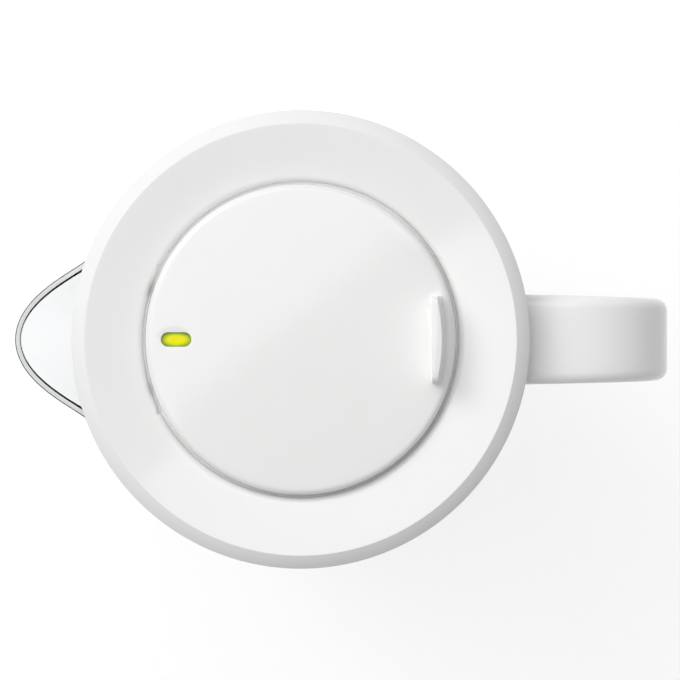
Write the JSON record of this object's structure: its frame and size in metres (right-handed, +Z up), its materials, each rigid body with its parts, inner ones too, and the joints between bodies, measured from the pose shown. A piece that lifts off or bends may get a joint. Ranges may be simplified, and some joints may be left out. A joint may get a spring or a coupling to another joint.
{
  "type": "water filter pitcher with flip lid",
  "caption": "Tall round clear jug with a beak spout, D-shaped white handle, drop-in filter hopper and cartridge, and a dished white lid with a round flip flap.",
  "frame": {"origin": "on the jug's axis at the table, the plane of the soft foot ring's tread", "axes": "+Z up along the jug's axis, +X from the axis to the handle, so the spout points along -X, and +Y across the handle"},
  "size_m": [0.2521, 0.175, 0.265],
  "materials": {
    "clear_jug": "clear moulded plastic, polished",
    "frosted_hopper": "milky translucent moulded plastic",
    "white_gloss": "glossy white moulded plastic",
    "white_satin": "satin white moulded plastic",
    "soft_foot": "soft pale grey elastomer",
    "lime_light": "lime light window, lit from behind",
    "granules": "bed of resin beads and dark granules",
    "mesh": "fine woven plastic mesh",
    "seal": "grey silicone",
    "board": "green circuit board",
    "led": "moulded light diode",
    "cell_steel": "bare steel can",
    "contact": "gold flashed spring strip",
    "button": "grey moulded plastic"
  },
  "bodies": {
    "jug": {"jug_body": "clear_jug", "base_ring": "soft_foot", "handle_shell": "white_gloss", "handle_back": "white_satin"},
    "hopper": {"funnel": "frosted_hopper"},
    "cartridge": {"cartridge_cup": "white_satin", "cartridge_cap": "white_satin", "cartridge_media": "granules", "inlet_mesh": "mesh", "outlet_mesh": "mesh", "cartridge_seal": "seal"},
    "lid": {"lid_ring": "white_gloss", "lid_liner": "white_satin"},
    "flap": {"flap_cover": "white_gloss", "flap_underside": "white_satin", "light_window": "lime_light", "indicator_board": "board", "indicator_led": "led", "coin_cell": "cell_steel", "battery_contact": "contact", "battery_cover": "white_satin", "cover_seal": "seal"},
    "button": {"reset_button": "button"}
  },
  "joints": [
    {"name": "hopper_lift", "type": "slide", "parent": "jug", "child": "hopper", "axis": [0, 0, 1], "range_m": [0, 0.19]},
    {"name": "cartridge_lift", "type": "slide", "parent": "hopper", "child": "cartridge", "axis": [0, 0, 1], "range_m": [0, 0.073]},
    {"name": "lid_lift", "type": "slide", "parent": "hopper", "child": "lid", "axis": [0, 0, 1], "range_m": [0, 0.05]},
    {"name": "flap_hinge", "type": "hinge", "parent": "lid", "child": "flap", "pos_m": [-0.052, 0, 0.2492], "axis": [0, -1, 0], "range_deg": [0, 80]},
    {"name": "button_press", "type": "slide", "parent": "flap", "child": "button", "axis": [0, 0, 1], "range_m": [0, 0.0007], "stiffness_N_per_m": 300}
  ]
}
